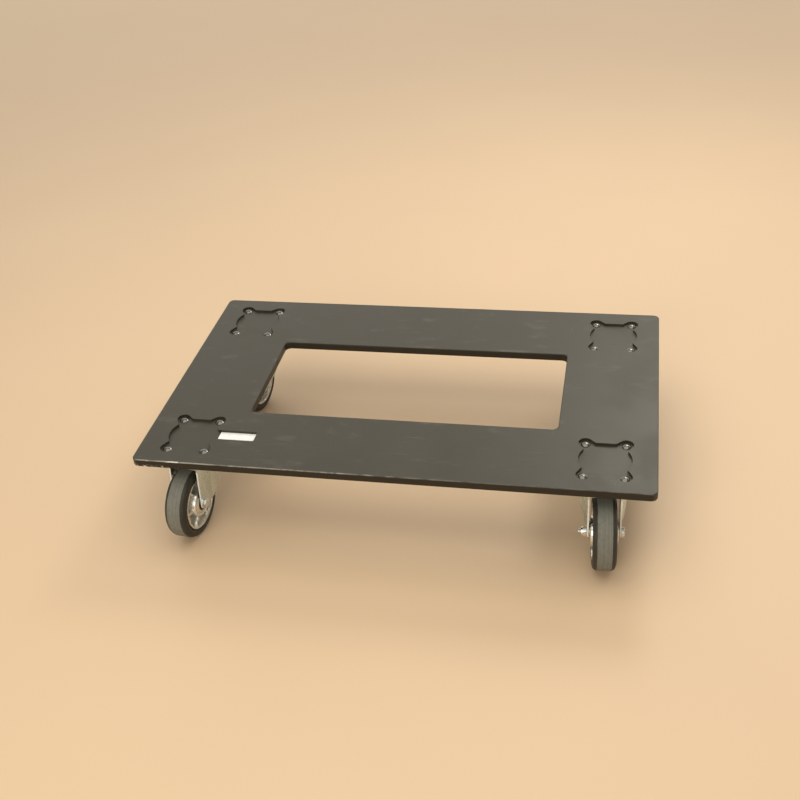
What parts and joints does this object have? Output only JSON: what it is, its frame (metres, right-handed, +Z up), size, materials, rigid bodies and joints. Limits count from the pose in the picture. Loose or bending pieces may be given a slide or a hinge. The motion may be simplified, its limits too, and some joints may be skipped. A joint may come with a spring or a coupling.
{
  "type": "speaker caster board",
  "caption": "Flat wheeled board with a rectangular cut-out and swivel casters, for carrying a stack of loudspeaker cabinets.",
  "frame": {"origin": "on the floor, under the middle of the board", "axes": "+X along the board's long side, +Y across it, +Z up"},
  "size_m": [1.1, 0.7744, 0.215],
  "materials": {
    "board_paint": "black satin paint on plywood",
    "label": "blank pale label film",
    "zinc_steel": "bright zinc plated pressed steel",
    "bearing_steel": "polished bearing steel",
    "cast_aluminium": "cast and turned aluminium",
    "rubber": "worn black elastic rubber",
    "black_plastic": "moulded black plastic"
  },
  "bodies": {
    "board": {"deck_board": "board_paint", "id_label": "label", "deck_bolts": "zinc_steel", "deck_nuts": "zinc_steel", "front_left_top_plate": "zinc_steel", "front_left_king_pin": "zinc_steel", "front_left_head_balls": "bearing_steel", "front_right_top_plate": "zinc_steel", "front_right_king_pin": "zinc_steel", "front_right_head_balls": "bearing_steel", "rear_left_top_plate": "zinc_steel", "rear_left_king_pin": "zinc_steel", "rear_left_head_balls": "bearing_steel", "rear_right_top_plate": "zinc_steel", "rear_right_king_pin": "zinc_steel", "rear_right_head_balls": "bearing_steel"},
    "front_left_swivel": {"front_left_fork": "zinc_steel", "front_left_head_seal": "black_plastic", "front_left_axle_bolt": "zinc_steel", "front_left_axle_nut": "zinc_steel", "front_left_axle_sleeve": "zinc_steel", "front_left_bearing_inner_rings": "bearing_steel"},
    "front_left_wheel": {"front_left_tyre": "rubber", "front_left_wheel_centre": "cast_aluminium", "front_left_bearing_outer_rings": "bearing_steel", "front_left_bearing_balls": "bearing_steel", "front_left_hub_seals": "black_plastic"},
    "front_right_swivel": {"front_right_fork": "zinc_steel", "front_right_head_seal": "black_plastic", "front_right_axle_bolt": "zinc_steel", "front_right_axle_nut": "zinc_steel", "front_right_axle_sleeve": "zinc_steel", "front_right_bearing_inner_rings": "bearing_steel"},
    "front_right_wheel": {"front_right_tyre": "rubber", "front_right_wheel_centre": "cast_aluminium", "front_right_bearing_outer_rings": "bearing_steel", "front_right_bearing_balls": "bearing_steel", "front_right_hub_seals": "black_plastic"},
    "rear_left_swivel": {"rear_left_fork": "zinc_steel", "rear_left_head_seal": "black_plastic", "rear_left_axle_bolt": "zinc_steel", "rear_left_axle_nut": "zinc_steel", "rear_left_axle_sleeve": "zinc_steel", "rear_left_bearing_inner_rings": "bearing_steel"},
    "rear_left_wheel": {"rear_left_tyre": "rubber", "rear_left_wheel_centre": "cast_aluminium", "rear_left_bearing_outer_rings": "bearing_steel", "rear_left_bearing_balls": "bearing_steel", "rear_left_hub_seals": "black_plastic"},
    "rear_right_swivel": {"rear_right_fork": "zinc_steel", "rear_right_head_seal": "black_plastic", "rear_right_axle_bolt": "zinc_steel", "rear_right_axle_nut": "zinc_steel", "rear_right_axle_sleeve": "zinc_steel", "rear_right_bearing_inner_rings": "bearing_steel"},
    "rear_right_wheel": {"rear_right_tyre": "rubber", "rear_right_wheel_centre": "cast_aluminium", "rear_right_bearing_outer_rings": "bearing_steel", "rear_right_bearing_balls": "bearing_steel", "rear_right_hub_seals": "black_plastic"}
  },
  "joints": [
    {"name": "front_left_swivel_turn", "type": "hinge", "parent": "board", "child": "front_left_swivel", "pos_m": [-0.444, -0.239, 0.18], "axis": [0, 0, 1], "continuous": true},
    {"name": "front_left_wheel_spin", "type": "hinge", "parent": "front_left_swivel", "child": "front_left_wheel", "pos_m": [-0.45152, -0.30608, 0.08], "axis": [0.9938, -0.1115, 0], "continuous": true},
    {"name": "front_right_swivel_turn", "type": "hinge", "parent": "board", "child": "front_right_swivel", "pos_m": [0.444, -0.239, 0.18], "axis": [0, 0, 1], "continuous": true},
    {"name": "front_right_wheel_spin", "type": "hinge", "parent": "front_right_swivel", "child": "front_right_wheel", "pos_m": [0.44871, -0.30634, 0.08], "axis": [0.9976, 0.0698, 0], "continuous": true},
    {"name": "rear_left_swivel_turn", "type": "hinge", "parent": "board", "child": "rear_left_swivel", "pos_m": [-0.444, 0.239, 0.18], "axis": [0, 0, 1], "continuous": true},
    {"name": "rear_left_wheel_spin", "type": "hinge", "parent": "rear_left_swivel", "child": "rear_left_wheel", "pos_m": [-0.45258, 0.17205, 0.08], "axis": [0.9919, -0.1271, 0], "continuous": true},
    {"name": "rear_right_swivel_turn", "type": "hinge", "parent": "board", "child": "rear_right_swivel", "pos_m": [0.444, 0.239, 0.18], "axis": [0, 0, 1], "continuous": true},
    {"name": "rear_right_wheel_spin", "type": "hinge", "parent": "rear_right_swivel", "child": "rear_right_wheel", "pos_m": [0.43648, 0.30608, 0.08], "axis": [-0.9938, -0.1115, 0], "continuous": true}
  ]
}
